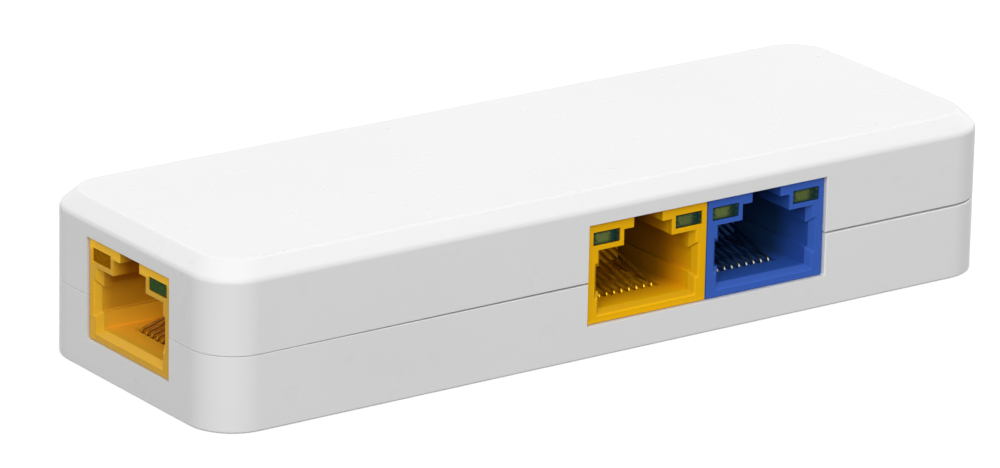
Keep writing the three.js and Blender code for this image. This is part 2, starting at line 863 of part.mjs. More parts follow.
function screw() {
  const head = [[0, screwHeadRecess], [screwHeadRadius, screwHeadRecess], [screwHeadRadius, headTop]];
  const shankEnd = headTop + screwLength;
  const shank = [[screwRadius, headTop], [screwRadius, shankEnd - screwRadius], [0, shankEnd]];
  const slotZ = [0, screwHeadRecess + screwSlotDepth];
  const slotLength = 2 * screwHeadRadius * slotShare;
  const slots = [[slotLength, screwSlotWidth], [screwSlotWidth, slotLength]].map(([x, y]) => {
    return block({ x: around(0, x), y: around(0, y), z: slotZ });
  });
  return cutBy(turned([...head, ...shank]), slots);
}

// Assembly

addPiece(injector, 'base_shell', baseShell(), 'shell');
addPiece(injector, 'top_cover', topCover(), 'shell');
addPiece(injector, 'main_board', mainBoard(), 'board');

bossPlaces.forEach(([x, y], i) => {
  addPiece(group(x, y, 0, 0), `case_screw_${i + 1}`, screw(), 'steel');
});

for (const { name, x, y, turn, finish } of jacks) {
  const jack = group(x, y, jackBottom, turn);
  addPiece(jack, `${name}_housing`, jackHousing(), finish);
  addPiece(jack, `${name}_insert`, contactInsert(), finish);
  contactPlaces().forEach((place, i) => {
    addPiece(jack, `${name}_contact_${i + 1}`, contactWire(place), 'contact');
  });
  addPiece(jack, `${name}_light_left`, indicatorLight(-lightCentre), 'light');
  addPiece(jack, `${name}_light_right`, indicatorLight(lightCentre), 'light');
}

const supply = group(supplyJack.x, supplyJack.y, jackBottom, supplyJack.turn);
addPiece(supply, 'supply_jack_housing', barrelHousing(), 'moulding');
addPiece(supply, 'supply_jack_pin', barrelPin(), 'steel');
addPiece(supply, 'supply_jack_spring', barrelSpring(), 'steel');

const seat = boardTop + seatGap;
for (const { name, place, ...size } of chips) {
  addPiece(group(place[0], place[1], seat, 0), name, chip(size), 'moulding');
}
for (const can of capacitors) {
  addPiece(group(can.x, can.y, seat, 0), can.name, capacitor(can), 'can');
}
const inductorHolder = group(along(leftField.x, controllerShare), innerY / 2, seat, 0);
addPiece(inductorHolder, 'power_inductor', inductor(), 'ferrite');
const fuseHolder = group(along(rightField.x, fuseShare), -rightMiddle, seat, 0);
const fuseSize = sized(fuseShares, rightLength, rightDepth);
addPiece(fuseHolder, 'input_fuse', roundedPrism(...fuseSize, chipEdge, [0, fuseHeight]), 'fuse');

export default injector;
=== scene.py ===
# %% [markdown]
# # A power-over-Ethernet injector
#
# The object is a small white box that puts power onto a network cable. It has two moulded shells with
# a thin gap between them, a yellow modular jack in its left end, a yellow and a blue one side by side in
# its front, and a round power inlet in its right end.
#
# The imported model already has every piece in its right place, in metres. This lesson keeps those places
# and adds what a camera sees: rounded edges, drawn wires, lenses, plastics, metals, light and a floor.

import math

import bmesh
import bpy
from mathutils import Matrix, Vector


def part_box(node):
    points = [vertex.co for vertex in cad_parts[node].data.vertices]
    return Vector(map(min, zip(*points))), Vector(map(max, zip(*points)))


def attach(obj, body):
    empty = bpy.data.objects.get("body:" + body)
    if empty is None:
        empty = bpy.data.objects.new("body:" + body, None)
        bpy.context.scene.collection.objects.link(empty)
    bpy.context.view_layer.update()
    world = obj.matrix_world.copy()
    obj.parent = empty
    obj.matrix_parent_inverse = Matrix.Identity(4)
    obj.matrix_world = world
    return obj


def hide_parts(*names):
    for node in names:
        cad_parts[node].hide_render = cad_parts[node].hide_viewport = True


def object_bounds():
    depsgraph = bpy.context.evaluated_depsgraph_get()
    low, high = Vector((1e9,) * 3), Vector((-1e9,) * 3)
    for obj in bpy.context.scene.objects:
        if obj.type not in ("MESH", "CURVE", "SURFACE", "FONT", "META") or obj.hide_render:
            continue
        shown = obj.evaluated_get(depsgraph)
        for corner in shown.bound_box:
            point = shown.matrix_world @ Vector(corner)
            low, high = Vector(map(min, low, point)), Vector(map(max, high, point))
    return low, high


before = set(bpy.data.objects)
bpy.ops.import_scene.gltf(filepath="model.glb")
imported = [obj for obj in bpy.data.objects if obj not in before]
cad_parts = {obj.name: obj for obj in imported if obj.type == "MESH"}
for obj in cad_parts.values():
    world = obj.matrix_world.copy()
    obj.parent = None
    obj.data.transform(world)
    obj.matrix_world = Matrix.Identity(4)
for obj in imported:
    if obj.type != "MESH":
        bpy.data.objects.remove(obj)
packed_box = [list(corner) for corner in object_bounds()]
mm = 0.001
print("pieces in the packed model:", len(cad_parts))
print("packed size in mm:", [round((high - low) / mm, 2) for low, high in zip(*packed_box)])

# %% [markdown]
# ## The camera
#
# A product picture taken with a long lens shows parallel edges that hardly draw together. The camera
# could be placed by eye, but then it would be off by a little. Here its turn, height and distance come from
# the straight edges of the box: a focal length of about 250 mm, 0.77 m away, looking 19 degrees down at the
# corner between the left end and the front.

# %% Place the camera
camera_turn = math.radians(35.601)
camera_rise = math.radians(18.769)
camera_roll = math.radians(1.242)
camera_distance = 0.770328
camera_shift_right = 0.002654
camera_shift_up = -0.008084
focal_length_px = 6933.65
picture_width_px = 1000
sensor_width_mm = 36

backwards = Vector((
    -math.sin(camera_turn) * math.cos(camera_rise),
    -math.cos(camera_turn) * math.cos(camera_rise),
    math.sin(camera_rise),
))
level_right = (-backwards).cross(Vector((0, 0, 1))).normalized()
level_up = level_right.cross(-backwards)
camera_right = math.cos(camera_roll) * level_right + math.sin(camera_roll) * level_up
camera_up = math.cos(camera_roll) * level_up - math.sin(camera_roll) * level_right
camera_place = backwards * camera_distance - camera_right * camera_shift_right - camera_up * camera_shift_up

camera_data = bpy.data.cameras.new("product_camera")
camera_data.sensor_width = sensor_width_mm
camera_data.lens = focal_length_px / picture_width_px * sensor_width_mm
camera_data.clip_start = 0.01
camera_data.clip_end = 20
camera = bpy.data.objects.new("product_camera", camera_data)
camera.matrix_world = Matrix.Translation(camera_place) @ Matrix(
    (camera_right, camera_up, backwards)
).transposed().to_4x4()
bpy.context.scene.collection.objects.link(camera)
bpy.context.scene.camera = camera
print("lens in mm:", round(camera_data.lens, 1), "camera at:", [round(c, 3) for c in camera_place])

# %% [markdown]
# ## Helpers for materials
#
# Each finish below is a node tree. Writing the same few lines for every node hides what the tree does,
# so small helpers start a tree with its main shader, add a node, feed its sockets, do sums and mix
# colours. Patterns read Object coordinates, because every finished piece has its place in its mesh and
# its object at the origin.

# %% Node helpers
def new_material(name):
    material = bpy.data.materials.new(name)
    material.use_nodes = True
    tree = material.node_tree
    tree.nodes.clear()
    shader = tree.nodes.new("ShaderNodeBsdfPrincipled")
    output = tree.nodes.new("ShaderNodeOutputMaterial")
    tree.links.new(shader.outputs["BSDF"], output.inputs["Surface"])
    return material, tree, shader


def feed(tree, socket, value):
    """Joins a socket to another node's output, or sets it to a plain value."""
    if isinstance(value, bpy.types.NodeSocket):
        tree.links.new(value, socket)
    else:
        socket.default_value = value


def add_node(tree, kind, settings=None, **inputs):
    node = tree.nodes.new(kind)
    for key, value in (settings or {}).items():
        setattr(node, key, value)
    for key, value in inputs.items():
        feed(tree, node.inputs[key.replace("_", " ")], value)
    return node


def combined(tree, operation, first, second):
    """The outcome of a sum. first and second are numbers or other nodes' sockets."""
    node = add_node(tree, "ShaderNodeMath", {"operation": operation})
    feed(tree, node.inputs[0], first)
    feed(tree, node.inputs[1], second)
    return node.outputs[0]


def mixed(tree, factor, first, second, blend="MIX"):
    """A Mix node's colour sockets come after those for plain numbers and vectors."""
    node = add_node(tree, "ShaderNodeMix", {"data_type": "RGBA", "blend_type": blend})
    for number, value in ((0, factor), (6, first), (7, second)):
        feed(tree, node.inputs[number], value)
    return node.outputs[2]


def from_screen_colour(red, green, blue):
    """A colour as a screen shows it, 0 to 255, turned into the light that it stands for."""
    def light(value):
        value = value / 255
        return value / 12.92 if value <= 0.04045 else ((value + 0.055) / 1.055) ** 2.4
    return (light(red), light(green), light(blue), 1)


def object_noise(tree, scale, detail=2.0, roughness=0.5):
    place = add_node(tree, "ShaderNodeTexCoord").outputs["Object"]
    return add_node(tree, "ShaderNodeTexNoise", Vector=place, Scale=scale, Detail=detail, Roughness=roughness)


def ramp(tree, factor, stops):
    node = tree.nodes.new("ShaderNodeValToRGB")
    while len(node.color_ramp.elements) < len(stops):
        node.color_ramp.elements.new(0.5)
    for element, (position, colour) in zip(node.color_ramp.elements, stops):
        element.position = position
        element.color = colour
    tree.links.new(factor, node.inputs["Fac"])
    return node


def spread(tree, value, low, high):
    """Stretches a pattern's middle part over the range from low to high."""
    return add_node(
        tree, "ShaderNodeMapRange", Value=value, From_Min=0.3, From_Max=0.7, To_Min=low, To_Max=high
    )


print("helpers ready")

# %% [markdown]
# ## Moulded plastic
#
# The shells and the jacks are injection moulded. Such a surface is not one flat colour: the mould's spark
# texture breaks up the shine, the flow of the melt changes the tone by a percent or two, and handling
# leaves faint duller spots. One function makes that family of materials, and each finish gives it a
# colour, a gloss and the depth of its texture.
#
# The texture's depth is a few thousandths of a millimetre, which a bump carries well: as geometry it would
# need millions of faces, and no outline shows it.

# %% One recipe for moulded plastics
def moulded_plastic(name, colour, gloss_range, texture_depth, texture_scale, tone_change, shine=0.5):
    material, tree, shader = new_material(name)
    darker = tuple(c * (1 - tone_change) for c in colour[:3]) + (1,)
    lighter = tuple(min(c * (1 + tone_change), 1) for c in colour[:3]) + (1,)
    flow = object_noise(tree, 45, 3)
    tone = ramp(tree, flow.outputs["Fac"], [(0.3, darker), (0.7, lighter)])
    tree.links.new(tone.outputs["Color"], shader.inputs["Base Color"])
    handling = object_noise(tree, 160, 4, 0.6)
    gloss = spread(tree, handling.outputs["Fac"], *gloss_range)
    tree.links.new(gloss.outputs["Result"], shader.inputs["Roughness"])
    spark = object_noise(tree, texture_scale, 2, 0.55)
    relief = add_node(
        tree, "ShaderNodeBump", Strength=1, Distance=texture_depth, Height=spark.outputs["Fac"]
    )
    tree.links.new(relief.outputs["Normal"], shader.inputs["Normal"])
    shader.inputs["IOR"].default_value = 1.5
    shader.inputs["Specular IOR Level"].default_value = shine
    return material


# %% Plastics of the case, the jacks and the packages
def jack_plastic(name, colour, tone_change=0.025, shine=0.15, gloss_range=(0.32, 0.42)):
    return moulded_plastic(name, colour, gloss_range, 0.006 * mm, 6000, tone_change, shine)


shell_white = moulded_plastic(
    "shell_white", (0.82, 0.82, 0.818, 1), (0.26, 0.34), 0.006 * mm, 5200, 0.008, 0.15
)
# Painted shade: a darker white for the thin edges of the case round the jacks.
shell_edge_painted_shade = moulded_plastic(
    "shell_opening_edge_painted_shade", (0.65, 0.65, 0.65, 1), (0.3, 0.38), 0.008 * mm, 5200, 0.008, 0.22
)
# The inner plastics of the jacks, end_yellow, jack_yellow and jack_blue, get painted light and shade below;
# the outer ones stay plain.
end_yellow = jack_plastic("end_jack_yellow", (0.85, 0.45, 0.02, 1))
jack_yellow = jack_plastic("jack_yellow", (0.90, 0.47, 0.001, 1), shine=0.12)
jack_blue = jack_plastic("jack_blue", (0.034, 0.113, 0.50, 1), 0.03, 0.2)
outer_yellow = jack_plastic("jack_yellow_outside", (0.82, 0.42, 0.01, 1), shine=0.2)
outer_blue = jack_plastic("jack_blue_outside", (0.03, 0.1, 0.46, 1), 0.03, 0.2)
bed_gloss = (0.4, 0.5)
# The beds' colours are painted tones: darker than their jack's plastic in the front jacks, painted shade, and
# brighter and redder in the end jack, painted light.
bed_plastics = {
    "end_jack": jack_plastic("end_wire_bed_painted_light", (0.98, 0.45, 0.01, 1), 0.03, gloss_range=bed_gloss),
    "front_left_jack": jack_plastic("amber_wire_bed_painted_shade", (0.75, 0.38, 0.004, 1), 0.03, gloss_range=bed_gloss),
    "front_right_jack": jack_plastic("blue_wire_bed_painted_shade", (0.03, 0.11, 0.32, 1), 0.03, gloss_range=bed_gloss),
}
package_black = moulded_plastic(
    "package_black", (0.018, 0.018, 0.02, 1), (0.45, 0.62), 0.01 * mm, 7000, 0.1
)
print("plastics:", [m.name for m in (shell_white, end_yellow, jack_yellow, jack_blue, package_black)])

# %% [markdown]
# ## Painted light and shade inside the jacks
#
# Deep inside a jack hardly any light comes back out, and the photograph shows it nearly black there. Light
# that bounces many times between bright plastic walls would make it glow instead. More lamps or a darker
# plastic would spoil the faces. So light and shade are painted into the plastic's colour along one axis at a
# time, which the material reads from Object coordinates: mostly painted shade with depth and towards the
# roof, painted light deep in the end jack, and paler bands on the end jack's face.

# %% Tone a colour along an axis
def toned(material, axis, start, stops, between=None):
    """Each stop is (mm from start, share of red, green and blue that is left).

    between is (axis, first, last): the tone is absent at first on that axis and complete at last.
    """
    tree = material.node_tree
    base = tree.nodes["Principled BSDF"].inputs["Base Color"]
    place = add_node(tree, "ShaderNodeTexCoord").outputs["Object"]
    parts = add_node(tree, "ShaderNodeSeparateXYZ", Vector=place)

    def way(along_axis, first, last):
        return add_node(
            tree, "ShaderNodeMapRange", Value=parts.outputs[along_axis], From_Min=first, From_Max=last
        ).outputs["Result"]

    reach = stops[-1][0]
    shares = [(distance / reach, (*left, 1)) for distance, left in stops]
    tone = ramp(tree, way(axis, start, start + reach * mm), shares).outputs["Color"]
    strength = way(*between) if between else 1
    tree.links.new(mixed(tree, strength, base.links[0].from_socket, tone, "MULTIPLY"), base)


def print_tones(plastic):
    tones = [node for node in plastic.node_tree.nodes if node.bl_idname == "ShaderNodeMix"]
    print(plastic.name, "has", len(tones), "tones")


end_face, front_face = packed_box[0][0], packed_box[0][1]
plain = (1, 1, 1)
print("faces of the case in mm:", round(end_face / mm, 2), round(front_face / mm, 2))

# %% Paint light and shade into the end jack's plastic
toned(end_yellow, "X", end_face, [
    (0.3, (0.87, 0.89, 1)), (0.9, (0.86, 0.9, 1.2)), (1.4, (0.92, 0.9, 1.3)), (4, (1, 1, 1.3)),
    (9, (1.3, 1.36, 1.3)), (18, (1.3, 1.36, 1.3)),
])
floor_top, groove_foot, roof_foot = 5.2 * mm, 7 * mm, 11.8 * mm
top_band, far_side = 13.8 * mm, 6.6 * mm
toned(end_yellow, "Z", groove_foot, [
    (0, plain), (0.3, (0.74, 0.66, 0.5)), (3, (0.74, 0.66, 0.5)), (3.4, (0.53, 0.36, 0.17)),
    (7, (0.59, 0.41, 0.18)),
], between=("X", end_face + 0.6 * mm, end_face + 2.2 * mm))
toned(end_yellow, "Z", roof_foot, [
    (0, plain), (0.6, (0.96, 0.9, 0.7)), (3.4, (0.94, 0.84, 0.6)),
], between=("X", end_face + 0.5 * mm, end_face + 1.3 * mm))
toned(end_yellow, "Z", floor_top, [
    (0, (1.12, 1.04, 1)), (0.2, plain), (1, plain),
], between=("X", end_face + 1.4 * mm, end_face + 2 * mm))
face_only = ("X", end_face + 0.4 * mm, end_face + 0.3 * mm)
toned(end_yellow, "Z", top_band, [
    (0, plain), (0.4, (1.4, 1.42, 0.85)), (1.4, (1.4, 1.42, 0.85)),
], between=face_only)
toned(end_yellow, "Y", far_side, [
    (0, plain), (0.5, (1.17, 1.14, 0.75)), (1.4, (1.17, 1.14, 0.75)),
], between=face_only)
print_tones(end_yellow)

# %% Paint shade into the two front jacks' plastic
wall_middle, latch_foot = 9.5 * mm, 11.5 * mm
toned(jack_yellow, "Y", front_face, [
    (0.45, plain), (0.6, (0.74, 0.74, 1)), (1, (0.72, 0.72, 1)), (1.2, (0.9, 0.95, 3)),
    (2.2, (0.86, 0.8, 3)), (4, (0.7, 0.58, 3)), (5.5, (0.46, 0.37, 2)), (7, (0.31, 0.25, 2)),
    (12, (0.22, 0.19, 2)),
])
toned(jack_yellow, "Z", wall_middle, [
    (0, plain), (2, (0.72, 0.67, 0.8)), (6, (0.66, 0.6, 0.8)),
], between=("Y", front_face + 1.2 * mm, front_face + 2.2 * mm))
toned(jack_blue, "Y", front_face, [
    (0.45, (0.95, 0.96, 0.97)), (0.6, (0.84, 0.84, 0.84)), (1.1, (0.8, 0.8, 0.8)),
    (2.2, (0.7, 0.74, 0.74)), (4, (0.68, 0.72, 0.7)), (7, (0.34, 0.38, 0.25)), (12, (0.3, 0.32, 0.2)),
])
toned(jack_blue, "Z", latch_foot, [
    (0, plain), (1.5, (0.7, 0.7, 0.66)), (4.5, (0.5, 0.5, 0.45)),
], between=("Y", front_face + 1.5 * mm, front_face + 4 * mm))
print_tones(jack_yellow)
print_tones(jack_blue)

# %% [markdown]
# ## Metals
#
# The contact wires are drawn phosphor bronze with a thin plating, golden in the yellow jacks and silvery in
# the blue one. The screws and the inlet's parts are plated steel, and the leads of the packages are tinned.
# All are metals whose tone and roughness change with a fine noise, which costs nothing in geometry. Shade
# is painted onto the wires along their depth, as on the plastic: the golden ones are deeper at their bend,
# where they mirror the lamps, the end jack's ones are darker all along and most at the bend, and the silvery
# ones are darker and bluer behind it, a painted reflection of the dark blue jack.

# %% Plated metals
def plated_metal(name, colour, gloss_range, grain_scale):
    material, tree, shader = new_material(name)
    shader.inputs["Metallic"].default_value = 1
    place = add_node(tree, "ShaderNodeTexCoord").outputs["Object"]
    grain = add_node(tree, "ShaderNodeTexNoise", Vector=place, Scale=grain_scale, Detail=3.0)
    worn = tuple(c * 0.86 for c in colour[:3]) + (1,)
    tone = ramp(tree, grain.outputs["Fac"], [(0.35, worn), (0.65, colour)])
    tree.links.new(tone.outputs["Color"], shader.inputs["Base Color"])
    gloss = spread(tree, grain.outputs["Fac"], *gloss_range)
    tree.links.new(gloss.outputs["Result"], shader.inputs["Roughness"])
    return material


contact_metals = {
    # The end jack's wires are the same gold plating, painted darker as shade.
    "end_jack": plated_metal("contact_bronze", (0.8, 0.42, 0.08, 1), (0.58, 0.66), 900),
    "front_left_jack": plated_metal("contact_gold", (0.95, 0.62, 0.04, 1), (0.34, 0.44), 900),
    "front_right_jack": plated_metal("contact_silver", (0.82, 0.81, 0.86, 1), (0.3, 0.4), 900),
}
# Painted shade on the wires along their depth: the silver darker and bluer behind its bend, a painted
# reflection of the dark blue jack; the end jack's gold darker, most at its bend; the front gold deeper at its
# bend, where it mirrors the lamps.
toned(contact_metals["front_right_jack"], "Y", front_face, [
    (4.3, (0.36, 0.36, 0.36)), (4.7, (0.26, 0.34, 0.5)), (5.6, (0.12, 0.24, 0.5)), (12, (0.06, 0.14, 0.3)),
])
toned(contact_metals["end_jack"], "X", end_face, [(4.1, (0.55, 0.5, 0.2)), (4.9, (0.85, 0.8, 0.7))])
toned(contact_metals["front_left_jack"], "Y", front_face, [(4.1, (0.75, 0.7, 0.24)), (4.9, plain)])
steel = plated_metal("steel", (0.62, 0.63, 0.65, 1), (0.22, 0.4), 1800)
tinned = plated_metal("tinned_lead", (0.72, 0.73, 0.74, 1), (0.25, 0.45), 2200)
print("metals:", [m.name for m in (*contact_metals.values(), steel, tinned)])

# %% [markdown]
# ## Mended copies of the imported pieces
#
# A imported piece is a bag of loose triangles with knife-sharp edges. Real mouldings have small radii,
# and these catch the light. A piece could be modelled again from nothing, but its openings and ribs are
# already exact. So a copy is merged, its flat faces are made whole, and a Bevel modifier rounds only the
# edges that carry a weight. The shading normal of every corner is then the mean of the faces round it that
# point nearly the same way, each counted by its area: big faces stay flat beside the small round ones.

# %% Merge a copy and find its sharp edges
merge_distance = 0.000001
flat_angle = math.radians(0.3)
sharp_angle = math.radians(20)
nearly_alike = math.cos(math.radians(36))


def merged_copy(node):
    shape = bmesh.new()
    shape.from_mesh(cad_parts[node].data)
    bmesh.ops.remove_doubles(shape, verts=shape.verts, dist=merge_distance)
    bmesh.ops.dissolve_limit(shape, angle_limit=flat_angle, verts=shape.verts[:], edges=shape.edges[:])
    for face in shape.faces:
        face.material_index = 0
    return shape


def is_sharp(edge):
    return edge.is_manifold and edge.calc_face_angle() > sharp_angle


def both_ends(edge, test):
    return all(test(vertex.co) for vertex in edge.verts)


def sharp_where(shape, radius, test=lambda point: True):
    """The same rounding for every sharp edge with both its ends where the test says."""
    return {edge: radius for edge in shape.edges if is_sharp(edge) and both_ends(edge, test)}


probe = merged_copy("top_cover")
print("top cover:", len(probe.faces), "faces,", sum(is_sharp(e) for e in probe.edges), "sharp edges")
probe.free()

# %% Round the weighted edges and finish a piece
def link(name, mesh):
    piece = bpy.data.objects.new(name, mesh)
    bpy.context.scene.collection.objects.link(piece)
    return piece


def plain_mesh(holder, name):
    """The evaluated result of an object's modifiers as a new plain object. The holder is removed."""
    graph = bpy.context.evaluated_depsgraph_get()
    mesh = bpy.data.meshes.new_from_object(holder.evaluated_get(graph))
    mesh.name = name
    bpy.data.objects.remove(holder)
    return link(name, mesh)


def rounded_piece(name, shape, radii, steps=3):
    """radii gives edges of the merged shape their rounding in metres. The other edges stay sharp."""
    widest = max(radii.values(), default=0)
    weights = [radii.get(edge, 0) / widest if widest else 0 for edge in shape.edges]
    mesh = bpy.data.meshes.new(name + "_blank")
    shape.to_mesh(mesh)
    shape.free()
    holder = link(name + "_blank", mesh)
    if widest:
        layer = mesh.attributes.new("bevel_weight_edge", "FLOAT", "EDGE")
        layer.data.foreach_set("value", weights)
        edges = holder.modifiers.new("edges", "BEVEL")
        edges.limit_method = "WEIGHT"
        edges.width = widest
        edges.segments = steps
        edges.use_clamp_overlap = True
    return shade_by_area(plain_mesh(holder, name))


def shade_by_area(piece):
    mesh = piece.data
    mesh.shade_smooth()
    around = [[] for _ in mesh.vertices]
    for face in mesh.polygons:
        for vertex in face.vertices:
            around[vertex].append(face)
    normals = []
    for face in mesh.polygons:
        for vertex in face.vertices:
            mean = Vector((0, 0, 0))
            for other in around[vertex]:
                if other.normal.dot(face.normal) > nearly_alike:
                    mean += other.normal * other.area
            normals.append(mean.normalized())
    mesh.normals_split_custom_set(normals)
    return piece


def settle(piece, slot, materials, *nodes):
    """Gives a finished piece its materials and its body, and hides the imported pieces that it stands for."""
    piece.data.materials.clear()
    for material in materials:
        piece.data.materials.append(material)
    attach(piece, "root")
    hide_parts(*nodes)
    print(piece.name, len(piece.data.polygons), "faces")
    return piece


# %% [markdown]
# ## The two shells
#
# The case is two tray-shaped mouldings. The top one has a bevel all round its upper edge. Where the bevel
# meets the flat top, and more so where it meets the walls, the photograph shows a soft turn, a radius of
# a few tenths of a millimetre. The edges of the openings are nearly sharp, but for the upright ones right
# of the pair of jacks, which catch the light.
#
# The gap between the shells is a fine line at the left end and opens towards the right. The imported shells
# lie 0.3 mm apart all round, so both of their edges at the gap move towards each other, most at the left.
# Moving the merged points keeps the walls whole, which a separate strip in the gap would not.

# %% Measure the case
case_low, case_high = (Vector(corner) for corner in packed_box)
half_length = (case_high.x - case_low.x) / 2
half_depth = (case_high.y - case_low.y) / 2
corner_radius = 5.4 * mm
on_surface = 0.02 * mm


def inset_from_outline(point):
    """How far a point lies inside the rounded outline of the case, seen from above."""
    across = max(abs(point.x) - (half_length - corner_radius), 0)
    along = max(abs(point.y) - (half_depth - corner_radius), 0)
    outside = math.hypot(across, along)
    past_corners = (abs(point.x) - (half_length - corner_radius), abs(point.y) - (half_depth - corner_radius))
    return corner_radius - outside - min(max(past_corners), 0)


def at_height(edge, height):
    return both_ends(edge, lambda p: abs(p.z - height) < on_surface)


def on_outline(edge):
    return both_ends(edge, lambda p: inset_from_outline(p) < 2 * on_surface)


parting_low = 8.5 * mm
parting_high = 8.8 * mm
print("case half sizes in mm:", round(half_length / mm, 2), round(half_depth / mm, 2))

# %% Round the upper shell
rim_height = case_high.z
bevel_height = 1.8 * mm
wall_top = rim_height - bevel_height
rim_offset, wall_top_offset, bottom_offset = 0.22 * mm, 0.4 * mm, 0.22 * mm
opening_offset, lit_opening_offset = 0.06 * mm, 0.22 * mm
pair_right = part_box("front_right_jack_housing")[1].x
beside_pair = 0.5 * mm
end_gap_offset, left_gap_offset, right_gap_offset = 0.05 * mm, 0.08 * mm, 0.1 * mm
end_gap_reach = -45 * mm
closed_by, open_by = 0.24 * mm, 0.08 * mm
closed_at, open_at = -46 * mm, -4 * mm
cover_share, base_share = -0.6, 0.4
edge_width = 1 * mm


def gap_rounding(edge):
    """The gap's edges are crisp at the left end and softer towards the right."""
    middle = (edge.verts[0].co.x + edge.verts[1].co.x) / 2
    if middle < end_gap_reach:
        return end_gap_offset
    return left_gap_offset if middle < 0 else right_gap_offset


def opening_rounding(edge):
    """An opening's edges are nearly sharp, but for the upright ones right of the pair of jacks."""
    right_of_the_pair = both_ends(edge, lambda p: abs(p.x - pair_right) < beside_pair and p.y < 0)
    return lit_opening_offset if right_of_the_pair else opening_offset


def close_gap(shape, edge_height, share):
    """Moves a shell's outer edge at the gap, up or down, by its share of what the gap closes by."""
    for vertex in shape.verts:
        if abs(vertex.co.z - edge_height) < on_surface and inset_from_outline(vertex.co) < edge_width:
            opened = min(max((vertex.co.x - closed_at) / (open_at - closed_at), 0), 1)
            vertex.co.z += (closed_by + (open_by - closed_by) * opened) * share


cover_shape = merged_copy("top_cover")
cover_radii = {}
for edge in cover_shape.edges:
    if not is_sharp(edge):
        continue
    if at_height(edge, rim_height):
        cover_radii[edge] = rim_offset
    elif at_height(edge, wall_top):
        cover_radii[edge] = wall_top_offset
    elif on_outline(edge) and at_height(edge, parting_high):
        cover_radii[edge] = gap_rounding(edge)
    elif on_outline(edge):
        cover_radii[edge] = opening_rounding(edge)
close_gap(cover_shape, parting_high, cover_share)
print("rounded edges of the cover:", len(cover_radii))
upper_shell = settle(
    rounded_piece("upper_shell", cover_shape, cover_radii), "shell_white", [shell_white], "top_cover"
)

# %% Round the lower shell
base_shape = merged_copy("base_shell")
base_radii = {}
for edge in base_shape.edges:
    if not is_sharp(edge) or not on_outline(edge):
        continue
    if at_height(edge, 0):
        base_radii[edge] = bottom_offset
    elif at_height(edge, parting_low):
        base_radii[edge] = gap_rounding(edge)
    else:
        base_radii[edge] = opening_rounding(edge)
close_gap(base_shape, parting_low, base_share)
print("rounded edges of the base:", len(base_radii))
lower_shell = settle(
    rounded_piece("lower_shell", base_shape, base_radii), "shell_white", [shell_white], "base_shell"
)

# %% [markdown]
# ## The jack bodies
#
# Each modular jack is one moulding with a plug opening, a latch channel, two windows and grooves down its
# sides. Its edges have radii of less than a tenth of a millimetre, and its four long corners a little
# more. All three are alike, so a loop makes them, and only the colour differs. The pegs and the rear,
# which no one sees, keep their plain edges. The tones belong to the inside alone, so the outer faces of
# each block get a plain plastic of the same colour. The lower edge of the face comes down by a tenth of a
# millimetre, which leaves only a fine gap to the case below it.
#
# Round each jack the case shows the thin edge of its wall. It should lie in shade, but lamps as broad as
# the ones below fill it with light, so shade is painted on those faces as a darker white.

# %% Where a point lies on a jack
jack_names = ["end_jack", "front_left_jack", "front_right_jack"]
jack_boxes = {name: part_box(name + "_housing") for name in jack_names}
jack_height = 11.4 * mm


def inwards_from_face(name):
    """A test of how deep a point lies behind the jack's face."""
    low = jack_boxes[name][0]
    if name == "end_jack":
        return lambda p: p.x - low.x
    return lambda p: p.y - low.y


def beyond_block(name):
    """A test of how far a point lies outside a jack's block, seen from the front. Inside it is negative."""
    low, high = jack_boxes[name]
    axis = 1 if name == "end_jack" else 0
    middle, half_width = (low[axis] + high[axis]) / 2, (high[axis] - low[axis]) / 2
    bottom = high.z - jack_height
    return lambda p: max(abs(p[axis] - middle) - half_width, bottom - p.z, p.z - high.z)


def at_outer_corner(name):
    """A test of whether a point lies on one of the four long edges of a jack's block."""
    low, high = jack_boxes[name]
    axis = 1 if name == "end_jack" else 0

    def test(p):
        beside = min(abs(p[axis] - low[axis]), abs(p[axis] - high[axis]))
        above = min(abs(p.z - high.z), abs(p.z - (high.z - jack_height)))
        return max(beside, above) < on_surface
    return test


jack_tests = [(name, inwards_from_face(name), beyond_block(name)) for name in jack_names]
print("jack faces at, in mm:", [[round(c / mm, 2) for c in jack_boxes[name][0]] for name in jack_names])

# %% Round the three jack bodies
jack_plastics = {
    "end_jack": ("jack_yellow", end_yellow, outer_yellow),
    "front_left_jack": ("jack_yellow", jack_yellow, outer_yellow),
    "front_right_jack": ("jack_blue", jack_blue, outer_blue),
}
jack_edge_offset, jack_corner_offset = 0.06 * mm, 0.22 * mm
rounded_depth = 12.5 * mm
lower_lip = 0.11 * mm
outer_skin, rear_depth, toned_front = 0.3 * mm, 15 * mm, 0.6 * mm

for name, depth, beyond in jack_tests:
    at_corner = at_outer_corner(name)
    shape = merged_copy(name + "_housing")
    radii = sharp_where(shape, jack_edge_offset, lambda p: depth(p) < rounded_depth)
    radii.update(sharp_where(shape, jack_corner_offset, at_corner))
    bottom = jack_boxes[name][1].z - jack_height
    for vertex in shape.verts:
        if abs(vertex.co.z - bottom) < on_surface and depth(vertex.co) < on_surface:
            vertex.co.z -= lower_lip
    slot, inside, outside = jack_plastics[name]
    body = settle(rounded_piece(name + "_body", shape, radii, 2), slot, [inside, outside], name + "_housing")
    for face in body.data.polygons:
        outer = beyond(face.center) > -outer_skin or depth(face.center) > rear_depth
        face.material_index = int(outer and depth(face.center) > toned_front)

# %% Paint shade on the openings' thin edges as a darker white
edge_reach = 0.3 * mm
edge_front, edge_back = -0.38 * mm, 1 * mm
facing_up = 0.4


def on_opening_edge(face):
    """All edge faces round the end jack, and those that face up below the two front ones."""
    for name, depth, beyond in jack_tests:
        close = abs(beyond(face.center)) < edge_reach and edge_front < depth(face.center) < edge_back
        if close and (name == "end_jack" or face.normal.z > facing_up):
            return True
    return False


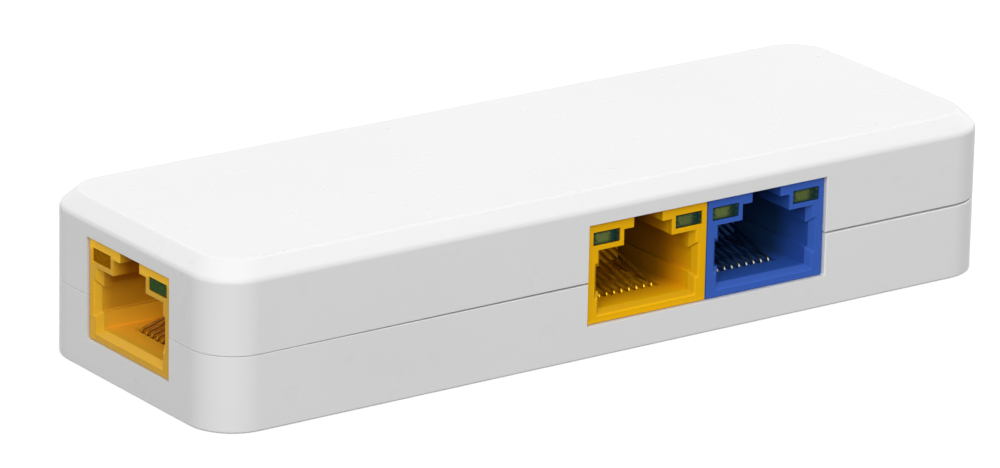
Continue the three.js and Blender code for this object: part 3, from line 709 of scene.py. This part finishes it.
for shell in (upper_shell, lower_shell):
    shell.data.materials.append(shell_edge_painted_shade)
    for face in shell.data.polygons:
        face.material_index = int(on_opening_edge(face))
    print(shell.name, "faces on the openings' edges:", sum(f.material_index for f in shell.data.polygons))

# %% [markdown]
# ## The wire beds
#
# Behind and under the plug sits an insert of the same plastic, with a slot for each wire. Its colour is
# set apart as painted tone: darker in the front jacks, painted shade, and brighter and redder in the end
# jack, painted light. Its shape is right as it is, so the imported pieces stay and only get their material.

# %% Give imported pieces their material
def finish_packed(node, material):
    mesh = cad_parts[node].data
    mesh.materials.clear()
    mesh.materials.append(material)


for name in jack_names:
    finish_packed(name + "_insert", bed_plastics[name])
print("wire beds:", len(jack_names))

# %% [markdown]
# ## The contact wires
#
# Eight springy wires lie side by side in each jack. Each comes up from the board, runs forward under the
# plug, turns back over itself and rises into the comb behind. They are the same wire eight times, with
# every second tail further back, so Geometry Nodes draw one pair along its path and repeat the pair.

# %% The path of a wire, in the jack's own frame
wires_per_jack = 8
wire_pitch = 1.016 * mm
wire_diameter = 0.36 * mm
run_height = 0.72 * mm
bend_radius = 0.42 * mm
bend_front = 3.85 * mm
rise_angle = math.radians(16)
arm_end = 13.8 * mm
tail_depths = (14.1 * mm, 16.5 * mm)
tail_drop = -2.05 * mm
tail_bend = 0.5 * mm


def arc(centre, radius, start, end, steps):
    """Points on an arc, each as (depth, height)."""
    return [
        (centre[0] + radius * math.cos(start + (end - start) * i / steps),
         centre[1] + radius * math.sin(start + (end - start) * i / steps))
        for i in range(steps + 1)
    ]


def wire_path(tail):
    """Points of a wire's middle line as (depth behind the face, height above the jack's underside)."""
    foot = arc((tail - tail_bend, run_height - tail_bend), tail_bend, 0, math.pi / 2, 5)
    centre = (bend_front + bend_radius, run_height + bend_radius)
    nose = arc(centre, bend_radius, -math.pi / 2, -math.pi * 1.5 + rise_angle, 14)
    top = nose[-1]
    end = (arm_end, top[1] + (arm_end - top[0]) * math.tan(rise_angle))
    return [(tail, tail_drop)] + foot + nose + [end]


print("points on a wire:", len(wire_path(tail_depths[0])))

# %% The node tree that draws and repeats the pair
def new_tree(name, inputs):
    tree = bpy.data.node_groups.new(name, "GeometryNodeTree")
    tree.interface.new_socket("Geometry", in_out="INPUT", socket_type="NodeSocketGeometry")
    for label, kind in inputs:
        tree.interface.new_socket(label, in_out="INPUT", socket_type=kind)
    tree.interface.new_socket("Geometry", in_out="OUTPUT", socket_type="NodeSocketGeometry")
    return tree, tree.nodes.new("NodeGroupInput"), tree.nodes.new("NodeGroupOutput")


def run_tree(tree, holder, values, name):
    change = holder.modifiers.new(tree.name, "NODES")
    change.node_group = tree
    for item in tree.interface.items_tree:
        if item.item_type == "SOCKET" and item.in_out == "INPUT" and item.name in values:
            change[item.identifier] = values[item.name]
    return plain_mesh(holder, name)


wire_tree, given, result = new_tree("contact_row", [
    ("Wire diameter", "NodeSocketFloat"),
    ("Pair spacing", "NodeSocketVector"),
    ("Pairs", "NodeSocketInt"),
    ("Finish", "NodeSocketMaterial"),
])
half = combined(wire_tree, "MULTIPLY", given.outputs["Wire diameter"], 0.5)
profile = add_node(wire_tree, "GeometryNodeCurvePrimitiveCircle", Resolution=12, Radius=half)
drawn = add_node(
    wire_tree, "GeometryNodeCurveToMesh", Curve=given.outputs["Geometry"],
    Profile_Curve=profile.outputs["Curve"], Fill_Caps=True,
)
smooth = add_node(wire_tree, "GeometryNodeSetShadeSmooth", Geometry=drawn.outputs["Mesh"])
line = add_node(
    wire_tree, "GeometryNodeMeshLine", {"mode": "OFFSET"}, Count=given.outputs["Pairs"],
    Offset=given.outputs["Pair spacing"],
)
row = add_node(
    wire_tree, "GeometryNodeInstanceOnPoints", Points=line.outputs["Mesh"],
    Instance=smooth.outputs["Geometry"],
)
real = add_node(wire_tree, "GeometryNodeRealizeInstances", Geometry=row.outputs["Instances"])
coated = add_node(
    wire_tree, "GeometryNodeSetMaterial", Geometry=real.outputs["Geometry"], Material=given.outputs["Finish"]
)
wire_tree.links.new(coated.outputs["Geometry"], result.inputs["Geometry"])
print("nodes in the wire tree:", len(wire_tree.nodes))

# %% Draw the wires of each jack
def jack_frame(name):
    """Where a jack is measured from, the foot of its face's middle, and its ways across and inwards."""
    low, high = jack_boxes[name]
    bottom = high.z - jack_height
    if name == "end_jack":
        return Vector((low.x, (low.y + high.y) / 2, bottom)), Vector((0, -1, 0)), Vector((1, 0, 0))
    return Vector(((low.x + high.x) / 2, low.y, bottom)), Vector((1, 0, 0)), Vector((0, 1, 0))


def in_jack(name, across, inwards, up):
    origin, right, deep = jack_frame(name)
    return origin + right * across + deep * inwards + Vector((0, 0, up))


def poly_curve(name, lines):
    curve = bpy.data.curves.new(name, "CURVE")
    curve.dimensions = "3D"
    for points in lines:
        spline = curve.splines.new("POLY")
        spline.points.add(len(points) - 1)
        for slot, point in zip(spline.points, points):
            slot.co = (*point, 1)
    return link(name, curve)


for name in jack_names:
    first = -(wires_per_jack - 1) / 2 * wire_pitch
    lines = [
        [in_jack(name, first + i * wire_pitch, depth, height) for depth, height in wire_path(tail)]
        for i, tail in enumerate(tail_depths)
    ]
    holder = poly_curve(name + "_wire_paths", lines)
    wires = run_tree(wire_tree, holder, {
        "Wire diameter": wire_diameter,
        "Pair spacing": jack_frame(name)[1] * 2 * wire_pitch,
        "Pairs": wires_per_jack // 2,
        "Finish": contact_metals[name],
    }, name + "_wires")
    contacts = [f"{name}_contact_{i + 1}" for i in range(wires_per_jack)]
    settle(wires, "contact_gold", [contact_metals[name]], *contacts)

# %% [markdown]
# ## The indicator lenses
#
# Each window shows the end of a lens bar. Unlit, it looks dark green, with a paler patch where the cup of
# the light shows through, and one in the end jack is amber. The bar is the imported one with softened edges.
# A pattern on Object coordinates would fall differently in each window, so a map of the window's own width
# and height carries the patch, and it sits alike in all of them.

# %% A smoky lens material
def lens_material(name, deep, pale, patch_share, speckle_share):
    """patch_share and speckle_share say how much of the pale tone comes as one patch and as fine speckles."""
    material, tree, shader = new_material(name)
    window = add_node(tree, "ShaderNodeUVMap", {"uv_map": "window"}).outputs["UV"]
    parts = add_node(tree, "ShaderNodeSeparateXYZ", Vector=window)
    wide = add_node(tree, "ShaderNodeMapping", Vector=window, Scale=(2.3, 1, 1))
    cloud = add_node(tree, "ShaderNodeTexNoise", Vector=wide.outputs["Vector"], Scale=4.0, Detail=3.0)

    def step(value, middle, soft, before, after):
        return add_node(
            tree, "ShaderNodeMapRange", {"interpolation_type": "SMOOTHSTEP"}, Value=value,
            From_Min=middle - soft, From_Max=middle + soft, To_Min=before, To_Max=after,
        ).outputs["Result"]

    def band(value, low, high, soft):
        return combined(tree, "MULTIPLY", step(value, low, soft, 0.0, 1.0), step(value, high, soft, 1.0, 0.0))

    off_middle = combined(tree, "SUBTRACT", cloud.outputs["Fac"], 0.5)
    across = combined(tree, "ADD", parts.outputs["X"], combined(tree, "MULTIPLY", off_middle, 0.5))
    upright = band(parts.outputs["Y"], 0.18, 0.88, 0.16)
    patch = combined(tree, "MULTIPLY", band(across, 0.08, 0.62, 0.12), upright)
    speckle = add_node(
        tree, "ShaderNodeMapRange", Value=cloud.outputs["Fac"], From_Min=0.48, From_Max=0.68
    ).outputs["Result"]
    patch_part = combined(tree, "MULTIPLY", patch, patch_share)
    pale_share = combined(tree, "ADD", patch_part, combined(tree, "MULTIPLY", speckle, speckle_share))
    tone = ramp(tree, pale_share, [(0.0, deep), (1.0, pale)])
    tree.links.new(tone.outputs["Color"], shader.inputs["Base Color"])
    shader.inputs["Roughness"].default_value = 0.35
    shader.inputs["IOR"].default_value = 1.5
    shader.inputs["Specular IOR Level"].default_value = 0.005
    return material


smoky = from_screen_colour(24, 50, 46)
olive = from_screen_colour(104, 118, 62)
lens_green = lens_material("lens_green", smoky, olive, 0.9, 0.15)
lens_clouded = lens_material("lens_clouded", smoky, olive, 0.7, 0.25)
leaf, moss = from_screen_colour(50, 80, 42), from_screen_colour(94, 110, 52)
lens_plain = lens_material("lens_plain", leaf, moss, 0.0, 0.7)
brown, amber = from_screen_colour(148, 94, 0), from_screen_colour(188, 124, 4)
lens_amber = lens_material("lens_amber", brown, amber, 0.1, 0.8)
lens_of = {
    ("end_jack", "left"): lens_amber,
    ("end_jack", "right"): lens_plain,
    ("front_left_jack", "left"): lens_green,
    ("front_left_jack", "right"): lens_clouded,
    ("front_right_jack", "left"): lens_green,
    ("front_right_jack", "right"): lens_clouded,
}
print("lenses:", sorted({lens.name for lens in lens_of.values()}))

# %% Finish the six lens bars
lens_edge = 0.05 * mm
lens_front, lens_end = 1 * mm, 15.5 * mm
window_width, window_height = 3.6 * mm, 1.55 * mm
window_foot = 8.85 * mm
window_middle = 5.55 * mm


def window_map(mesh, name, centre):
    """Maps the window's width and height onto 0 to 1 across every face of a lens bar."""
    origin, right = jack_frame(name)[:2]
    layer = mesh.uv_layers.new(name="window")
    for loop in mesh.loops:
        place = mesh.vertices[loop.vertex_index].co - origin
        layer.data[loop.index].uv = (
            (place.dot(right) - centre) / window_width + 0.5,
            (place.z - window_foot) / window_height,
        )


for name, depth, _ in jack_tests:
    for side, centre in (("left", -window_middle), ("right", window_middle)):
        node = f"{name}_light_{side}"
        shape = merged_copy(node)
        radii = sharp_where(shape, lens_edge, lambda p: depth(p) < lens_front)
        bar = rounded_piece(f"{name}_lens_{side}", shape, radii, 2)
        window_map(bar.data, name, centre)
        settle(bar, "indicator_lens", [lens_of[name, side], tinned], node)
        for face in bar.data.polygons:
            face.material_index = int(depth(face.center) > lens_end)

# %% [markdown]
# ## The power inlet
#
# The right end carries a barrel inlet: a black moulding with a round bore, a pin in its middle and a
# sprung contact below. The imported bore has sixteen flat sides, which a close view shows. Each side of its
# circles is split, and the new points move out onto the true circle. The pin gets the same treatment.

# %% Split circles finer
inlet_middle_height = 9.6 * mm
bore_radius, pin_radius, pin_tip_radius = 3.2 * mm, 1 * mm, 0.6 * mm
inlet_edge, pin_edge, leaf_edge, screw_edge = 0.12 * mm, 0.1 * mm, 0.05 * mm, 0.06 * mm
tip_length = 0.5 * mm
circle_cuts = 3


def finer_circles(shape, radius, cuts):
    """Splits the sides of every circle of that radius round the inlet's middle line."""
    def from_middle(p):
        return Vector((0, p.y, p.z - inlet_middle_height))

    sides = [
        e for e in shape.edges
        if both_ends(e, lambda p: abs(from_middle(p).length - radius) < on_surface)
        and abs(e.verts[0].co.x - e.verts[1].co.x) < on_surface
    ]
    made = bmesh.ops.subdivide_edges(shape, edges=sides, cuts=cuts, use_grid_fill=True, use_only_quads=True)
    for item in made["geom_inner"]:
        if isinstance(item, bmesh.types.BMVert):
            across = from_middle(item.co)
            item.co += across * (radius / across.length - 1)
    print("sides split:", len(sides))


# %% Finish the inlet
inlet_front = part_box("supply_jack_housing")[1].x
inlet_shape = merged_copy("supply_jack_housing")
finer_circles(inlet_shape, bore_radius, circle_cuts)
inlet_radii = sharp_where(inlet_shape, inlet_edge, lambda p: inlet_front - p.x < on_surface)
inlet_body = rounded_piece("supply_jack_body", inlet_shape, inlet_radii)
settle(inlet_body, "package_black", [package_black], "supply_jack_housing")

pin_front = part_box("supply_jack_pin")[1].x
pin_shape = merged_copy("supply_jack_pin")
finer_circles(pin_shape, pin_radius, circle_cuts)
finer_circles(pin_shape, pin_tip_radius, circle_cuts)
pin_radii = sharp_where(pin_shape, pin_edge, lambda p: pin_front - p.x < tip_length)
settle(rounded_piece("supply_jack_centre_pin", pin_shape, pin_radii), "steel", [steel], "supply_jack_pin")

leaf_shape = merged_copy("supply_jack_spring")
leaf_spring = rounded_piece("supply_jack_leaf", leaf_shape, sharp_where(leaf_shape, leaf_edge), 2)
settle(leaf_spring, "steel", [steel], "supply_jack_spring")

# %% Soften the screw heads
for number in range(1, 5):
    node = f"case_screw_{number}"
    head_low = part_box(node)[0].z
    screw_shape = merged_copy(node)
    screw_radii = sharp_where(screw_shape, screw_edge, lambda p: abs(p.z - head_low) < on_surface)
    settle(rounded_piece(f"cover_screw_{number}", screw_shape, screw_radii, 2), "steel", [steel], node)

# %% [markdown]
# ## The inner parts
#
# The board and what it carries are shut in, but the part is also used opened up, so they get their own
# finishes. Under the green mask of the board run copper tracks. A Voronoi pattern cuts it into patches, and
# each patch takes its fine lines from X or from Y. The black mouldings have tinned leads, which are the
# faces outside the outline of the top. The capacitors wear a dark sleeve with a pale stripe.

# %% Finishes of the inner parts
def add_tracks(material, patch_scale, line_spacing, line_share, brighter):
    """Lays lines of a brighter tone over a material, along X in some patches and along Y in others."""
    tree = material.node_tree
    base = tree.nodes["Principled BSDF"].inputs["Base Color"]
    place = add_node(tree, "ShaderNodeTexCoord").outputs["Object"]
    parts = add_node(tree, "ShaderNodeSeparateXYZ", Vector=place)
    patches = add_node(
        tree, "ShaderNodeTexVoronoi", {"distance": "CHEBYCHEV"}, Vector=place, Scale=patch_scale,
        Randomness=0.7,
    )
    kind = add_node(tree, "ShaderNodeSeparateColor", Color=patches.outputs["Color"])
    along_x = combined(tree, "GREATER_THAN", kind.outputs["Red"], 0.5)
    chosen = add_node(tree, "ShaderNodeMix", {"data_type": "FLOAT"}, Factor=along_x)
    feed(tree, chosen.inputs[2], parts.outputs["Y"])
    feed(tree, chosen.inputs[3], parts.outputs["X"])
    lines_passed = combined(tree, "MULTIPLY", chosen.outputs[0], 1 / line_spacing)
    line = combined(tree, "LESS_THAN", combined(tree, "FRACT", lines_passed, 0), line_share)
    feed(tree, base, mixed(tree, line, base.links[0].from_socket, (*brighter, 1), "MULTIPLY"))


board_green = moulded_plastic("board_green", (0.02, 0.12, 0.045, 1), (0.3, 0.42), 0.004 * mm, 2500, 0.08)
add_tracks(board_green, patch_scale=210, line_spacing=1.1 * mm, line_share=0.3, brighter=(1.9, 1.6, 1.5))
can_metal = plated_metal("capacitor_can", (0.5, 0.52, 0.55, 1), (0.25, 0.42), 2000)
sleeve_dark = moulded_plastic("capacitor_sleeve", (0.02, 0.03, 0.06, 1), (0.25, 0.35), 0.004 * mm, 3000, 0.05)
sleeve_pale = moulded_plastic("sleeve_stripe", (0.5, 0.52, 0.55, 1), (0.25, 0.35), 0.004 * mm, 3000, 0.05)
ferrite = moulded_plastic("ferrite_grey", (0.06, 0.06, 0.062, 1), (0.55, 0.75), 0.02 * mm, 4000, 0.12)
fuse_green = moulded_plastic("fuse_green", (0.05, 0.22, 0.1, 1), (0.3, 0.45), 0.008 * mm, 3000, 0.06)
finish_packed("main_board", board_green)
print("finishes ready")

# %% Soften the black packages and tin their leads
package_draft = 0.2 * mm
package_edge = 0.12 * mm
black_packages = [
    "data_transformer_1", "data_transformer_2", "power_controller", "power_switch", "rectifier",
    "output_diode",
]


def soft_topped(node, radius, slot, materials):
    """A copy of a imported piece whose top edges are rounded."""
    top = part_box(node)[1].z
    shape = merged_copy(node)
    radii = sharp_where(shape, radius, lambda p: abs(p.z - top) < on_surface)
    return settle(rounded_piece(node + "_finished", shape, radii, 2), slot, materials, node)


for node in black_packages:
    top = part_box(node)[1].z
    roof = [v.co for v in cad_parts[node].data.vertices if top - v.co.z < on_surface]
    west, east = min(p.x for p in roof), max(p.x for p in roof)
    south, north = min(p.y for p in roof), max(p.y for p in roof)
    package = soft_topped(node, package_edge, "package_black", [package_black, tinned])
    for face in package.data.polygons:
        beside = max(west - face.center.x, face.center.x - east, south - face.center.y, face.center.y - north)
        face.material_index = int(beside > package_draft)

# %% Sleeve the capacitors, soften the coil and the fuse
can_edge, fuse_edge = 0.15 * mm, 0.1 * mm
side_until, stripe_until = 0.3, -0.85

for node in ("filter_capacitor", "bulk_capacitor", "output_capacitor"):
    can = soft_topped(node, can_edge, "capacitor_can", [can_metal, sleeve_dark, sleeve_pale])
    for face in can.data.polygons:
        if abs(face.normal.z) < side_until:
            face.material_index = 2 if face.normal.x < stripe_until else 1
soft_topped("power_inductor", can_edge, "ferrite_grey", [ferrite])
soft_topped("input_fuse", fuse_edge, "fuse_green", [fuse_green])

# %% [markdown]
# ## Light and floor
#
# A white object on white needs light that still models its shape. The top is the brightest, the bevel a
# touch darker, and the two walls clearly darker, with the corner between them brighter than either. That
# asks for a broad key lamp above the camera, a weaker one from behind that only the top sees, two low ones
# behind and at the right that lift the far bevels, and a dim even sky. Lamps near the box would leave a
# bright spot on each wall, so all of them are far away. The floor is white to the camera and grey to the
# light that bounces off it.

# %% Lamps
def far_lamp(name, turn, rise, strength, width):
    """A lamp so far away that it has no bright spot. turn 0 is in front of the box, 90 at its left end."""
    data = bpy.data.lights.new(name, "SUN")
    data.energy = strength
    data.angle = math.radians(width)
    lamp = bpy.data.objects.new(name, data)
    turn, rise = math.radians(turn), math.radians(rise)
    towards = Vector((-math.sin(turn) * math.cos(rise), -math.cos(turn) * math.cos(rise), math.sin(rise)))
    lamp.matrix_world = towards.to_track_quat("Z", "Y").to_matrix().to_4x4()
    bpy.context.scene.collection.objects.link(lamp)


far_lamp("key", turn=37.3, rise=36.5, strength=2.32, width=60)
far_lamp("top_from_behind", turn=225, rise=53, strength=0.46, width=60)
far_lamp("rim_from_behind", turn=176, rise=15, strength=0.45, width=50)
far_lamp("rim_from_the_right", turn=262, rise=15, strength=0.75, width=50)

# %% The sky
sky_bounced, sky_seen = 0.42, 1.0


def seen_directly(tree):
    """1 for rays from the camera or in a reflection or behind glass, and 0 for light that bounces."""
    path = tree.nodes.new("ShaderNodeLightPath").outputs
    seen_or_mirrored = combined(tree, "MAXIMUM", path["Is Camera Ray"], path["Is Glossy Ray"])
    return combined(tree, "MAXIMUM", seen_or_mirrored, path["Is Transmission Ray"])


world = bpy.data.worlds.new("studio")
bpy.context.scene.world = world
world.use_nodes = True
sky_tree = world.node_tree
sky = sky_tree.nodes["Background"]
sky.inputs["Color"].default_value = (1, 1, 1, 1)
sky_level = add_node(
    sky_tree, "ShaderNodeMapRange", Value=seen_directly(sky_tree), To_Min=sky_bounced, To_Max=sky_seen
)
sky_tree.links.new(sky_level.outputs["Result"], sky.inputs["Strength"])
print("sky:", sky_bounced, "as light and", sky_seen, "to the camera")

# %% The floor
floor_reach = 6
floor_drop = 0.02 * mm
bounced_grey, seen_grey = (0.1, 0.1, 0.1, 1), (0.4, 0.4, 0.4, 1)
floor_glow = 0.68
floor_corners = ((-1, -1), (1, -1), (1, 1), (-1, 1))

floor_mesh = bpy.data.meshes.new("floor")
floor_mesh.from_pydata([(x * floor_reach, y * floor_reach, 0) for x, y in floor_corners], [], [(0, 1, 2, 3)])
floor = link("floor", floor_mesh)
floor_paper, floor_tree, floor_shader = new_material("floor_paper")
looked_at = seen_directly(floor_tree)
feed(floor_tree, floor_shader.inputs["Base Color"], mixed(floor_tree, looked_at, bounced_grey, seen_grey))
glow = combined(floor_tree, "MULTIPLY", looked_at, floor_glow)
feed(floor_tree, floor_shader.inputs["Emission Strength"], glow)
floor_shader.inputs["Emission Color"].default_value = (1, 1, 1, 1)
floor_shader.inputs["Roughness"].default_value = 0.9
floor_shader.inputs["Specular IOR Level"].default_value = 0
floor.data.materials.append(floor_paper)
floor.location.z = -floor_drop
print("floor in metres:", 2 * floor_reach)

# %% Show colours as they are written
scene = bpy.context.scene
scene.view_settings.view_transform = "Standard"
print("view transform:", scene.view_settings.view_transform)
